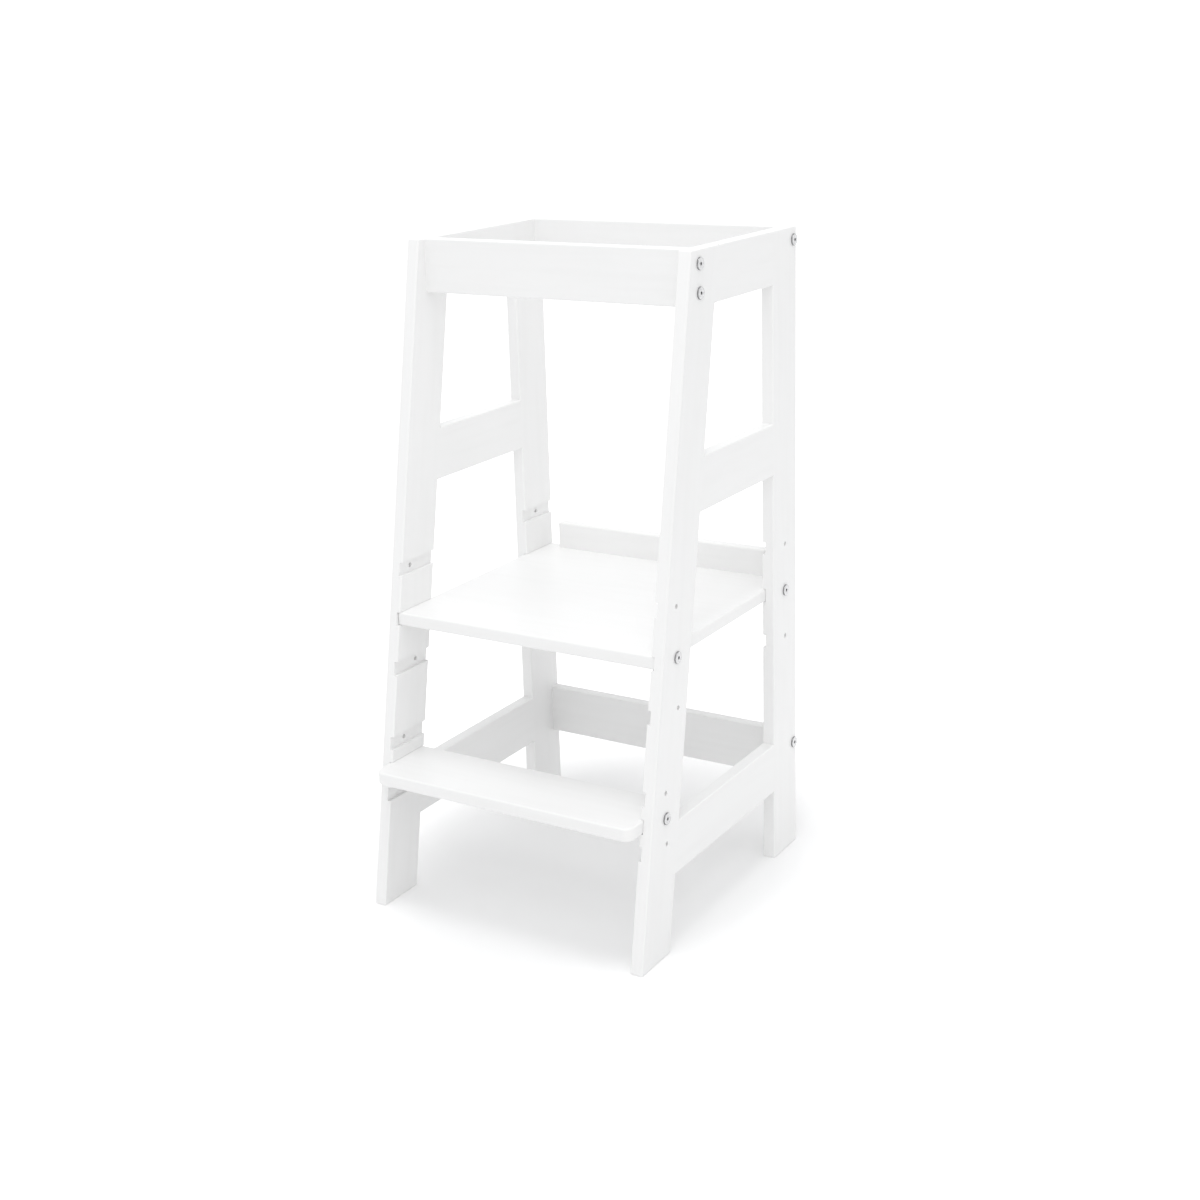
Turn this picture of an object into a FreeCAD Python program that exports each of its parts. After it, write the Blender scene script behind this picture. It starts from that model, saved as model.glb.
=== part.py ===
import FreeCAD, Part

# A kitchen helper tower for a toddler, in white lacquered pine. Two glued side frames are
# joined by three cross rails, a standing board and a step. Both boards sit in grooves cut
# across the legs and are bolted through them, and the spare grooves above and below each
# board give it two more heights. Bolts come in from outside and end in barrel nuts.
#
# Millimetres. X runs to the right, Y to the back and Z up. The origin is on the floor,
# under the middle of the tower. The rear legs are upright and the front legs lean back.

import os

import Sketcher

Vector = FreeCAD.Vector
Rotation = FreeCAD.Rotation

# ---------------------------------------------------------------------------- sizes
SIZES = [
    # the whole tower
    ("height", 900, "floor to the top of the legs"),
    ("width", 428, "over the outer faces of the two side frames"),
    ("depth", 456, "front of the front feet to the back of the rear feet"),
    ("lean_angle", 10, "degrees that the front legs lean back"),
    # boards
    ("side_thick", 18, "thickness of the legs and the side rails"),
    ("leg_wide", 72, "width of a leg, square to its length"),
    ("rail_wide", 72, "height of a side rail or a cross rail"),
    ("rail_thick", 18, "thickness of a cross rail"),
    ("edge_round", 2, "radius on the edges of the frame's boards"),
    # rails
    ("middle_rail_top", 641, "floor to the top of the middle side rails"),
    ("lower_rail_top", 176, "floor to the top of the lower rails"),
    ("front_rail_setback", 12, "front rail behind the tops of the front legs"),
    ("fixing_inset", 18, "bolt or dowel from the edge of a rail"),
    # standing board and its heel board
    ("platform_level", 396.5, "floor to the middle of the standing board"),
    ("platform_pitch", 67.5, "step from one height of the standing board to the next"),
    ("platform_thick", 18, "thickness of the standing board"),
    ("platform_setback", 3, "standing board behind the front legs' front faces"),
    ("heel_high", 39, "height of the heel board over the standing board"),
    ("heel_thick", 18, "thickness of the heel board"),
    ("heel_gap", 23, "end of the heel board to a leg"),
    # step
    ("step_level", 191, "floor to the middle of the step"),
    ("step_pitch", 35, "step from one height of the step to the next"),
    ("step_thick", 18, "thickness of the step"),
    ("step_reach", 33.5, "step in front of the front legs' front faces"),
    ("step_corner", 14, "radius of the step's front corners"),
    ("board_round", 2.5, "radius on the edges of the boards that are stood on"),
    # grooves
    ("levels", 3, "heights that each board can be set to"),
    ("groove_depth", 5, "depth of a groove in a leg"),
    ("groove_play", 0.3, "gap between a board and the sides and floor of its groove"),
    # bolts and barrel nuts
    ("bolt_wide", 6, "shank diameter"),
    ("bolt_long", 60, "length under the head"),
    ("bolt_hole", 6.5, "clearance hole for a bolt"),
    ("bolt_end_gap", 2, "hole beyond the tip of a bolt"),
    ("head_wide", 16, "bolt head diameter"),
    ("head_high", 2.4, "bolt head thickness"),
    ("head_bevel", 0.8, "bevel round a bolt head"),
    ("socket_wide", 4, "bolt head socket, across its flats"),
    ("socket_deep", 3.5, "depth of the socket"),
    ("nut_wide", 10, "barrel nut diameter"),
    ("nut_long", 14, "barrel nut length"),
    ("nut_inset", 8, "tip of a bolt to the middle of its nut"),
    ("nut_slot", 1.2, "width and depth of the slot in a nut's end"),
    ("metal_play", 0.1, "radial gap round a nut, and round a bolt in a nut"),
    # dowels and screws
    ("dowel_wide", 6, "dowel diameter"),
    ("dowel_long", 36, "dowel length"),
    ("dowel_bevel", 0.8, "bevel on the ends of a dowel"),
    ("dowel_play", 0.05, "radial gap round a glued dowel"),
    ("dowel_end_gap", 1, "hole beyond each end of a dowel or screw"),
    ("dowel_in_leg", 12, "how far a cross rail's dowel goes into a leg"),
    ("screw_wide", 4, "screw diameter"),
    ("screw_long", 40, "screw length"),
    ("screw_head", 8, "countersunk head diameter"),
    ("screw_play", 0.2, "radial gap round a screw in the standing board"),
    ("screw_spread", 130, "middle screw to an outer screw"),
    ("screw_slot", 1, "width and depth of the cross in a screw's head"),
]

doc = FreeCAD.newDocument("helper_tower")
sheet = doc.addObject("Spreadsheet::Sheet", "Sizes")
for row, (alias, value, meaning) in enumerate(SIZES, start=1):
    sheet.set(f"A{row}", alias)
    sheet.set(f"B{row}", str(value))
    sheet.set(f"C{row}", meaning)
    sheet.setAlias(f"B{row}", alias)
doc.recompute()

# ---------------------------------------------------- places worked out from the sizes
SIDES = {"left": -1, "right": 1}
RAIL_TOPS = {
    "top": "Sizes.height",
    "middle": "Sizes.middle_rail_top",
    "lower": "Sizes.lower_rail_top",
}

OUTER = "(Sizes.width / 2)"
INNER = "(Sizes.width / 2 - Sizes.side_thick)"
BACK = "(Sizes.depth / 2)"
REAR_LEG_FACE = "(Sizes.depth / 2 - Sizes.leg_wide)"
REAR_LEG_MIDDLE = "(Sizes.depth / 2 - Sizes.leg_wide / 2)"

BOARD_END = f"({INNER} + Sizes.groove_depth - Sizes.groove_play)"
BOLT_BORE_END = f"({OUTER} - Sizes.bolt_long - Sizes.bolt_end_gap)"
NUT_X = f"({OUTER} - Sizes.bolt_long + Sizes.nut_inset)"
NUT_HOLE = "(Sizes.nut_wide + 2 * Sizes.metal_play)"
DOWEL_HOLE = "(Sizes.dowel_wide + 2 * Sizes.dowel_play)"
DOWEL_BORE = "(Sizes.dowel_long / 2 + Sizes.dowel_end_gap)"
LEG_DOWEL_BORE = "(Sizes.dowel_in_leg + Sizes.dowel_end_gap)"
RAIL_DOWEL_BORE = "(Sizes.dowel_long - Sizes.dowel_in_leg + Sizes.dowel_end_gap)"


def front_leg_face(level):
    """How far back the front face of a front leg is at a height."""
    return f"(-Sizes.depth / 2 + {level} * tan(Sizes.lean_angle))"


def front_leg_back(level):
    """How far back the back face of a front leg is at a height."""
    return f"({front_leg_face(level)} + Sizes.leg_wide / cos(Sizes.lean_angle))"


def front_leg_middle(level):
    """How far back the middle of a front leg is at a height."""
    return f"({front_leg_face(level)} + Sizes.leg_wide / cos(Sizes.lean_angle) / 2)"


def rail_fixings(top):
    """The two heights where a rail is bolted or dowelled, upper one first."""
    return [
        f"({top} - Sizes.fixing_inset)",
        f"({top} - Sizes.rail_wide + Sizes.fixing_inset)",
    ]


def fixings_of(kind, top, fixings):
    """The heights of a rail's bolts, or of its dowels."""
    return [level for level, fixing in zip(rail_fixings(top), fixings) if fixing == kind]


PLATFORM_FRONT = f"({front_leg_face('Sizes.platform_level')} + Sizes.platform_setback)"
PLATFORM_UNDER = "(Sizes.platform_level - Sizes.platform_thick / 2)"
PLATFORM_TOP = "(Sizes.platform_level + Sizes.platform_thick / 2)"
PLATFORM_FRONT_BOLT = front_leg_middle("Sizes.platform_level")
HEEL_FACE = f"({BACK} - Sizes.heel_thick)"
HEEL_END = f"({INNER} - Sizes.heel_gap)"
SCREW_Y = f"({BACK} - Sizes.heel_thick / 2)"
SCREWS_X = ["-Sizes.screw_spread", "0", "Sizes.screw_spread"]

STEP_FRONT = f"({front_leg_face('Sizes.step_level')} - Sizes.step_reach)"
STEP_BACK = front_leg_back("Sizes.step_level")
STEP_UNDER = "(Sizes.step_level - Sizes.step_thick / 2)"
STEP_BOLT = front_leg_middle("Sizes.step_level")

FRONT_RAIL_FACE = f"({front_leg_face('Sizes.height')} + Sizes.front_rail_setback)"
BACK_RAIL_FACE = f"({BACK} - Sizes.rail_thick)"

# Each cross rail: how far back its front face is, its top, and the upper and the lower
# fixing at each end.
CROSS_RAILS = {
    "top_front": (FRONT_RAIL_FACE, "Sizes.height", ("bolt", "bolt")),
    "top_back": (BACK_RAIL_FACE, "Sizes.height", ("bolt", "dowel")),
    "lower_back": (BACK_RAIL_FACE, "Sizes.lower_rail_top", ("bolt", "dowel")),
}

# How far a unit direction may stray and still count as along an axis.
STRAY = 0.0001


# ------------------------------------------------------------------- drawing and cutting
def worth(expression):
    """The present value of an expression on the sheet."""
    return float(sheet.evalExpression(expression))


def place(thing, x="0", y="0", z="0"):
    """Tie the place of a thing to the sheet."""
    for axis, expression in zip("xyz", (x, y, z)):
        thing.setExpression(f"Placement.Base.{axis}", expression)


def new_body(name, x="0", y="0", z="0"):
    """A body whose own origin stands at a place tied to the sheet."""
    body = doc.addObject("PartDesign::Body", name)
    body.Label = name
    place(body, x, y, z)
    return body


def origin_plane(body, role):
    """One of the three planes of a body's own origin."""
    return next(flat for flat in body.Origin.OriginFeatures if flat.Role == role)


def sketch(body, role, offset="0"):
    """A sketch on an origin plane of the body, moved along the plane's normal."""
    drawing = body.newObject("Sketcher::SketchObject", f"{body.Name}_sketch")
    drawing.AttachmentSupport = (origin_plane(body, role), "")
    drawing.MapMode = "FlatFace"
    drawing.setExpression("AttachmentOffset.Base.z", offset)
    return drawing


def bind(drawing, constraint, expression):
    """Add a constraint whose value comes from an expression."""
    number = drawing.addConstraint(constraint)
    drawing.renameConstraint(number, f"size_{number}")
    drawing.setExpression(f"Constraints.size_{number}", expression)


def pin(drawing, shape, point, x, y):
    """Hold a point of a sketched line or circle at a place from the sketch's origin."""
    for kind, expression in (("DistanceX", x), ("DistanceY", y)):
        value = worth(expression)
        bind(drawing, Sketcher.Constraint(kind, -1, 1, shape, point, value), expression)


def outline(drawing, corners):
    """A closed outline of straight lines through corners given as expressions."""
    spots = [Vector(worth(x), worth(y), 0) for x, y in corners]
    ends = spots[1:] + spots[:1]
    lines = [drawing.addGeometry(Part.LineSegment(*pair)) for pair in zip(spots, ends)]
    for line, next_line in zip(lines, lines[1:] + lines[:1]):
        drawing.addConstraint(Sketcher.Constraint("Coincident", line, 2, next_line, 1))
    for line, (x, y) in zip(lines, corners):
        pin(drawing, line, 1, x, y)


def rectangle(drawing, low_x, low_y, high_x, high_y):
    """A rectangle between two corners given as expressions."""
    outline(drawing, [(low_x, low_y), (high_x, low_y), (high_x, high_y), (low_x, high_y)])


def circles(drawing, centres, diameter):
    """Circles of one size at centres given as expressions."""
    size = worth(diameter)
    for x, y in centres:
        circle = Part.Circle(Vector(worth(x), worth(y), 0), Vector(0, 0, 1), size / 2)
        number = drawing.addGeometry(circle)
        bind(drawing, Sketcher.Constraint("Diameter", number, size), diameter)
        pin(drawing, number, 3, x, y)


def pad(body, drawing, length, reverse=False):
    """Thicken a sketch along its normal, or against it."""
    feature = body.newObject("PartDesign::Pad", f"{body.Name}_pad")
    feature.Profile = drawing
    feature.setExpression("Length", length)
    feature.Reversed = reverse
    doc.recompute()
    return feature


def cut(body, drawing, with_normal, depth=None):
    """Cut a sketch to a depth, or right on through, with its normal or against it."""
    before = body.Shape.Volume
    feature = body.newObject("PartDesign::Pocket", f"{body.Name}_cut")
    feature.Profile = drawing
    feature.Reversed = with_normal
    if depth is None:
        feature.Type = "ThroughAll"
    else:
        feature.setExpression("Length", depth)
    doc.recompute()
    if body.Shape.Volume >= before:
        raise RuntimeError(f"{feature.Name} cuts nothing")
    return feature


def bores(body, role, floor, centres, diameter, with_normal):
    """Round bores from their floor out through the end of the piece."""
    drawing = sketch(body, role, floor)
    circles(drawing, centres, diameter)
    return cut(body, drawing, with_normal)


def run_of(edge):
    """The direction in which an edge starts."""
    return edge.tangentAt(edge.FirstParameter)


def runs_along(direction):
    """A test for edges that run along a direction."""
    return lambda edge: abs(run_of(edge).dot(direction)) > 1 - STRAY


def runs_level(edge):
    """A test for edges, straight or curved, that run level."""
    return abs(run_of(edge).z) < STRAY


def off_the_base(edge):
    """A test for edges that don't lie in the base plane of their piece."""
    return edge.CenterOfMass.z > STRAY


def round_edges(body, feature, radius, wanted=None):
    """Round all the edges of a board, or those that pass a test."""
    fillet = body.newObject("PartDesign::Fillet", f"{body.Name}_round")
    if wanted is None:
        fillet.Base = (feature, [""])
        fillet.UseAllEdges = True
    else:
        names = [
            f"Edge{number}"
            for number, edge in enumerate(feature.Shape.Edges, start=1)
            if wanted(edge)
        ]
        fillet.Base = (feature, names)
    fillet.setExpression("Radius", radius)
    doc.recompute()
    return fillet


def mirror_cuts(body, cuts):
    """Repeat cuts at the other end of a piece that lies across the tower."""
    mirror = body.newObject("PartDesign::Mirrored", f"{body.Name}_mirror")
    mirror.Originals = cuts
    mirror.MirrorPlane = (origin_plane(body, "YZ_Plane"), [""])
    body.Tip = mirror
    doc.recompute()


# ---------------------------------------------------------------------- side frames
def square_joints(leg, outward, edge, inwards):
    """Square up a leg's rounded edge where the side rails are glued flush against it."""
    strips = sketch(leg, "YZ_Plane")
    for top in RAIL_TOPS.values():
        low = f"({top} - Sizes.rail_wide + Sizes.edge_round)"
        high = f"({top} - Sizes.edge_round)"
        outline(strips, [
            (edge(low), low),
            (f"{edge(low)} + {inwards}", low),
            (f"{edge(high)} + {inwards}", high),
            (edge(high), high),
        ])
    pad(leg, strips, "Sizes.side_thick", reverse=not outward)


def groove_levels(leg, outward, thickness, level, pitch, edges, bolt_y):
    """Grooves across a leg with a bolt hole in each, at every height of a board."""
    lowest = f"({level} - (Sizes.levels - 1) / 2 * {pitch})"
    half = f"({thickness} / 2 + Sizes.groove_play)"
    slot = sketch(leg, "YZ_Plane")
    rectangle(slot, edges[0], f"{lowest} - {half}", edges[1], f"{lowest} + {half}")
    groove = cut(leg, slot, outward, "Sizes.groove_depth")
    hole = bores(leg, "YZ_Plane", "0", [(bolt_y, lowest)], "Sizes.bolt_hole", outward)
    pattern = leg.newObject("PartDesign::LinearPattern", f"{leg.Name}_levels")
    pattern.Originals = [groove, hole]
    pattern.Direction = (slot, ["V_Axis"])
    pattern.setExpression("Length", f"(Sizes.levels - 1) * {pitch}")
    pattern.setExpression("Occurrences", "Sizes.levels")
    leg.Tip = pattern
    doc.recompute()


def front_leg(side):
    """A leaning leg with grooves for the standing board and the step."""
    outward = SIDES[side] > 0
    leg = new_body(f"{side}_front_leg", x=f"{SIDES[side]} * {INNER}")
    shape = sketch(leg, "YZ_Plane")
    outline(shape, [
        (front_leg_face("0"), "0"),
        (front_leg_back("0"), "0"),
        (front_leg_back("Sizes.height"), "Sizes.height"),
        (front_leg_face("Sizes.height"), "Sizes.height"),
    ])
    board = pad(leg, shape, "Sizes.side_thick", reverse=not outward)
    round_edges(leg, board, "Sizes.edge_round")
    square_joints(leg, outward, front_leg_back, "-2 * Sizes.edge_round")
    edges = (front_leg_face("0"), front_leg_back("Sizes.height"))
    groove_levels(leg, outward, "Sizes.platform_thick", "Sizes.platform_level",
                  "Sizes.platform_pitch", edges, PLATFORM_FRONT_BOLT)
    groove_levels(leg, outward, "Sizes.step_thick", "Sizes.step_level",
                  "Sizes.step_pitch", edges, STEP_BOLT)
    bolts = [(f"{FRONT_RAIL_FACE} + Sizes.rail_thick / 2", level)
             for level in rail_fixings("Sizes.height")]
    bores(leg, "YZ_Plane", "0", bolts, "Sizes.bolt_hole", outward)
    middle = f"{SIDES[side]} * Sizes.side_thick / 2"
    for top in RAIL_TOPS.values():
        for level in rail_fixings(top):
            floor = f"{DOWEL_BORE} - {front_leg_back(level)}"
            bores(leg, "XZ_Plane", floor, [(middle, level)], DOWEL_HOLE, False)
    return leg


def rear_leg(side):
    """An upright leg with grooves for the standing board."""
    outward = SIDES[side] > 0
    leg = new_body(f"{side}_rear_leg", x=f"{SIDES[side]} * {INNER}")
    shape = sketch(leg, "YZ_Plane")
    rectangle(shape, REAR_LEG_FACE, "0", BACK, "Sizes.height")
    board = pad(leg, shape, "Sizes.side_thick", reverse=not outward)
    round_edges(leg, board, "Sizes.edge_round")
    square_joints(leg, outward, lambda level: REAR_LEG_FACE, "2 * Sizes.edge_round")
    groove_levels(leg, outward, "Sizes.platform_thick", "Sizes.platform_level",
                  "Sizes.platform_pitch", (REAR_LEG_FACE, BACK), REAR_LEG_MIDDLE)
    rail_middle = f"{BACK} - Sizes.rail_thick / 2"
    upper_top, lower_top = rail_fixings("Sizes.height")
    upper_low, lower_low = rail_fixings("Sizes.lower_rail_top")
    bolts = [(rail_middle, upper_top), (rail_middle, upper_low)]
    bores(leg, "YZ_Plane", "0", bolts, "Sizes.bolt_hole", outward)
    dowels = sketch(leg, "YZ_Plane")
    circles(dowels, [(rail_middle, lower_top), (rail_middle, lower_low)], DOWEL_HOLE)
    cut(leg, dowels, outward, LEG_DOWEL_BORE)
    middle = f"{SIDES[side]} * Sizes.side_thick / 2"
    centres = [(middle, level) for top in RAIL_TOPS.values() for level in rail_fixings(top)]
    bores(leg, "XZ_Plane", f"-{REAR_LEG_FACE} - {DOWEL_BORE}", centres, DOWEL_HOLE, True)
    return leg


def side_rail(side, name, top):
    """A rail between the front and the rear leg of one side, dowelled to both."""
    outward = SIDES[side] > 0
    under = f"{top} - Sizes.rail_wide"
    rail = new_body(f"{side}_{name}_side_rail", x=f"{SIDES[side]} * {INNER}")
    shape = sketch(rail, "YZ_Plane")
    outline(shape, [
        (front_leg_back(f"({under})"), under),
        (REAR_LEG_FACE, under),
        (REAR_LEG_FACE, top),
        (front_leg_back(top), top),
    ])
    board = pad(rail, shape, "Sizes.side_thick", reverse=not outward)
    round_edges(rail, board, "Sizes.edge_round", runs_along(Vector(0, 1, 0)))
    middle = f"{SIDES[side]} * Sizes.side_thick / 2"
    levels = rail_fixings(top)
    for level in levels:
        floor = f"-{front_leg_back(level)} - {DOWEL_BORE}"
        bores(rail, "XZ_Plane", floor, [(middle, level)], DOWEL_HOLE, True)
    centres = [(middle, level) for level in levels]
    bores(rail, "XZ_Plane", f"{DOWEL_BORE} - {REAR_LEG_FACE}", centres, DOWEL_HOLE, False)
    return rail


# -------------------------------------------------------------- pieces across the tower
def cross_rail(name, face, top, fixings):
    """A rail between the side frames, held at each end by bolts and dowels."""
    rail = new_body(f"{name}_rail")
    shape = sketch(rail, "YZ_Plane", f"-{INNER}")
    rectangle(shape, face, f"{top} - Sizes.rail_wide", f"{face} + Sizes.rail_thick", top)
    board = pad(rail, shape, f"2 * {INNER}")
    round_edges(rail, board, "Sizes.edge_round", runs_along(Vector(1, 0, 0)))
    middle = f"({face} + Sizes.rail_thick / 2)"
    bolt_levels = fixings_of("bolt", top, fixings)
    bolts = [(middle, level) for level in bolt_levels]
    nuts = [(NUT_X, level) for level in bolt_levels]
    dowels = [(middle, level) for level in fixings_of("dowel", top, fixings)]
    nut_floor = f"Sizes.nut_long / 2 - {middle}"
    cuts = [
        bores(rail, "YZ_Plane", BOLT_BORE_END, bolts, "Sizes.bolt_hole", True),
        bores(rail, "XZ_Plane", nut_floor, nuts, NUT_HOLE, False),
    ]
    if dowels:
        floor = f"{INNER} - {RAIL_DOWEL_BORE}"
        cuts.append(bores(rail, "YZ_Plane", floor, dowels, DOWEL_HOLE, True))
    mirror_cuts(rail, cuts)
    return rail


def bolt_board_ends(board, thickness, bolt_places):
    """Bolt bores into both ends of a board, and nut bores up from its underside."""
    middle = f"{thickness} / 2"
    bolts = [(y, middle) for y in bolt_places]
    nuts = [(NUT_X, y) for y in bolt_places]
    nut_floor = f"{middle} + Sizes.nut_long / 2"
    mirror_cuts(board, [
        bores(board, "YZ_Plane", BOLT_BORE_END, bolts, "Sizes.bolt_hole", True),
        bores(board, "XY_Plane", nut_floor, nuts, NUT_HOLE, False),
    ])


def platform():
    """The board that the child stands on, screwed up into the heel board."""
    board = new_body("platform", z=PLATFORM_UNDER)
    shape = sketch(board, "XY_Plane")
    rectangle(shape, f"-{BOARD_END}", PLATFORM_FRONT, BOARD_END, BACK)
    slab = pad(board, shape, "Sizes.platform_thick")
    round_edges(board, slab, "Sizes.board_round")
    bolt_board_ends(board, "Sizes.platform_thick", [PLATFORM_FRONT_BOLT, REAR_LEG_MIDDLE])
    screws = sketch(board, "XY_Plane")
    screw_hole = "Sizes.screw_wide + 2 * Sizes.screw_play"
    circles(screws, [(x, SCREW_Y) for x in SCREWS_X], screw_hole)
    hole = board.newObject("PartDesign::Hole", "platform_screw_holes")
    hole.Profile = screws
    doc.recompute()
    hole.Reversed = True
    hole.DepthType = "ThroughAll"
    hole.HoleCutType = "Countersink"
    hole.HoleCutCountersinkAngle = 90
    hole.setExpression("Diameter", screw_hole)
    hole.setExpression("HoleCutDiameter", "Sizes.screw_head + 2 * Sizes.screw_play")
    doc.recompute()
    return board


def heel_board():
    """The upright board on the back of the platform, rounded where it doesn't stand on it."""
    board = new_body("heel_board", z=PLATFORM_TOP)
    shape = sketch(board, "YZ_Plane", f"-{HEEL_END}")
    rectangle(shape, HEEL_FACE, "0", BACK, "Sizes.heel_high")
    slab = pad(board, shape, f"2 * {HEEL_END}")
    round_edges(board, slab, "Sizes.board_round", off_the_base)
    floor = "Sizes.screw_long - Sizes.platform_thick + Sizes.dowel_end_gap"
    pilot = "Sizes.screw_wide + 2 * Sizes.metal_play"
    bores(board, "XY_Plane", floor, [(x, SCREW_Y) for x in SCREWS_X], pilot, False)
    return board


def step_board():
    """The step between the front legs, with rounded front corners."""
    board = new_body("step_board", z=STEP_UNDER)
    shape = sketch(board, "XY_Plane")
    rectangle(shape, f"-{BOARD_END}", STEP_FRONT, BOARD_END, STEP_BACK)
    slab = pad(board, shape, "Sizes.step_thick")
    corners = board.newObject("PartDesign::Fillet", "step_board_corners")
    upright = runs_along(Vector(0, 0, 1))
    middle = slab.Shape.CenterOfMass.y
    corners.Base = (slab, [
        f"Edge{number}"
        for number, edge in enumerate(slab.Shape.Edges, start=1)
        if edge.CenterOfMass.y < middle and upright(edge)
    ])
    corners.setExpression("Radius", "Sizes.step_corner")
    doc.recompute()
    round_edges(board, corners, "Sizes.board_round", runs_level)
    bolt_board_ends(board, "Sizes.step_thick", [STEP_BOLT])
    return board


# ------------------------------------------------------------------------- fasteners
def turned(name, profile):
    """A turned piece: half its outline, revolved about the X axis."""
    body = new_body(name)
    half = sketch(body, "XY_Plane")
    outline(half, profile)
    solid = body.newObject("PartDesign::Revolution", f"{name}_turn")
    solid.Profile = half
    solid.ReferenceAxis = (half, ["H_Axis"])
    solid.Angle = 360
    doc.recompute()
    return body


def bolt():
    """A flat-headed furniture bolt, with its shank along -X from under the head."""
    shank = "Sizes.bolt_wide / 2"
    rim = "Sizes.head_wide / 2"
    body = turned("bolt", [
        ("-Sizes.bolt_long", "0"),
        ("-Sizes.bolt_long", shank),
        ("0", shank),
        ("0", rim),
        ("Sizes.head_high - Sizes.head_bevel", rim),
        ("Sizes.head_high", f"{rim} - Sizes.head_bevel"),
        ("Sizes.head_high", "0"),
    ])
    flat = "Sizes.socket_wide / 2"
    corner = "Sizes.socket_wide / sqrt(3)"
    socket = sketch(body, "YZ_Plane", "Sizes.head_high")
    outline(socket, [
        ("0", corner),
        (f"-{flat}", f"{corner} / 2"),
        (f"-{flat}", f"-{corner} / 2"),
        ("0", f"-{corner}"),
        (flat, f"-{corner} / 2"),
        (flat, f"{corner} / 2"),
    ])
    cut(body, socket, False, "Sizes.socket_deep")
    return body


def barrel_nut():
    """A barrel nut standing on Z, with its bore along X and a slot in its lower end."""
    body = new_body("barrel_nut")
    round_bar = sketch(body, "XY_Plane", "-Sizes.nut_long / 2")
    circles(round_bar, [("0", "0")], "Sizes.nut_wide")
    pad(body, round_bar, "Sizes.nut_long")
    bore = "Sizes.bolt_wide + 2 * Sizes.metal_play"
    bores(body, "YZ_Plane", "-Sizes.nut_wide", [("0", "0")], bore, True)
    slot = sketch(body, "XY_Plane", "-Sizes.nut_long / 2")
    side = "Sizes.nut_slot / 2"
    rectangle(slot, "-Sizes.nut_wide", f"-{side}", "Sizes.nut_wide", side)
    cut(body, slot, True, "Sizes.nut_slot")
    return body


def dowel():
    """A wooden dowel along X, bevelled at both ends."""
    end = "Sizes.dowel_long / 2"
    rim = "Sizes.dowel_wide / 2"
    return turned("dowel", [
        (f"-{end}", "0"),
        (f"-{end}", f"{rim} - Sizes.dowel_bevel"),
        (f"-{end} + Sizes.dowel_bevel", rim),
        (f"{end} - Sizes.dowel_bevel", rim),
        (end, f"{rim} - Sizes.dowel_bevel"),
        (end, "0"),
    ])


def screw():
    """A countersunk screw along X from the face of its head."""
    shank = "Sizes.screw_wide / 2"
    rim = "Sizes.screw_head / 2"
    body = turned("screw", [
        ("0", "0"),
        ("0", rim),
        (f"{rim} - {shank}", shank),
        ("Sizes.screw_long - Sizes.screw_wide", shank),
        ("Sizes.screw_long", "0"),
    ])
    side = "Sizes.screw_slot / 2"
    reach = "Sizes.screw_wide / 2"
    for high, wide in ((side, reach), (reach, side)):
        slot = sketch(body, "YZ_Plane")
        rectangle(slot, f"-{wide}", f"-{high}", wide, high)
        cut(body, slot, True, "Sizes.screw_slot")
    return body


def group(name, template, spots):
    """Like fasteners as one sub-part, each at a place and turned a way."""
    copies = []
    for x, y, z, turn in spots:
        copy = doc.addObject("App::Link", f"{name}_copy")
        copy.LinkedObject = template
        copy.Placement = FreeCAD.Placement(Vector(0, 0, 0), turn)
        place(copy, x, y, z)
        copies.append(copy)
    whole = doc.addObject("Part::Compound", name)
    whole.Label = name
    whole.Links = copies
    return whole


AS_MADE = Rotation()
HALF_TURN = Rotation(Vector(0, 0, 1), 180)
ALONG_Y = Rotation(Vector(0, 0, 1), 90)
SLOT_TO_BACK = Rotation(Vector(1, 0, 0), 90)
UPWARDS = Rotation(Vector(0, 1, 0), -90)


def bolts_and_nuts(name, centres, nut_turn):
    """Bolts through both side frames at each centre, and the nuts that they end in."""
    bolt_spots = []
    nut_spots = []
    for y, z in centres:
        bolt_spots += [(OUTER, y, z, AS_MADE), (f"-{OUTER}", y, z, HALF_TURN)]
        nut_spots += [(NUT_X, y, z, nut_turn), (f"-{NUT_X}", y, z, nut_turn)]
    return [
        group(f"{name}_bolts", BOLT, bolt_spots),
        group(f"{name}_barrel_nuts", NUT, nut_spots),
    ]


def side_rail_dowels(side, name, top):
    """The dowels at both ends of one side rail."""
    middle = f"{SIDES[side]} * ({INNER} + Sizes.side_thick / 2)"
    spots = []
    for level in rail_fixings(top):
        spots.append((middle, front_leg_back(level), level, ALONG_Y))
        spots.append((middle, REAR_LEG_FACE, level, ALONG_Y))
    return group(f"{side}_{name}_side_rail_dowels", DOWEL, spots)


def cross_rail_dowels(name, middle, levels):
    """The dowels at both ends of one cross rail."""
    x = f"({INNER} + Sizes.dowel_in_leg - Sizes.dowel_long / 2)"
    spots = []
    for level in levels:
        spots += [(x, middle, level, AS_MADE), (f"-{x}", middle, level, AS_MADE)]
    return group(f"{name}_rail_dowels", DOWEL, spots)


# --------------------------------------------------------------------- the whole tower
BOLT = bolt()
NUT = barrel_nut()
DOWEL = dowel()
SCREW = screw()

pieces = []
for side in SIDES:
    pieces += [front_leg(side), rear_leg(side)]
    for name, top in RAIL_TOPS.items():
        pieces += [side_rail(side, name, top), side_rail_dowels(side, name, top)]

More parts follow.
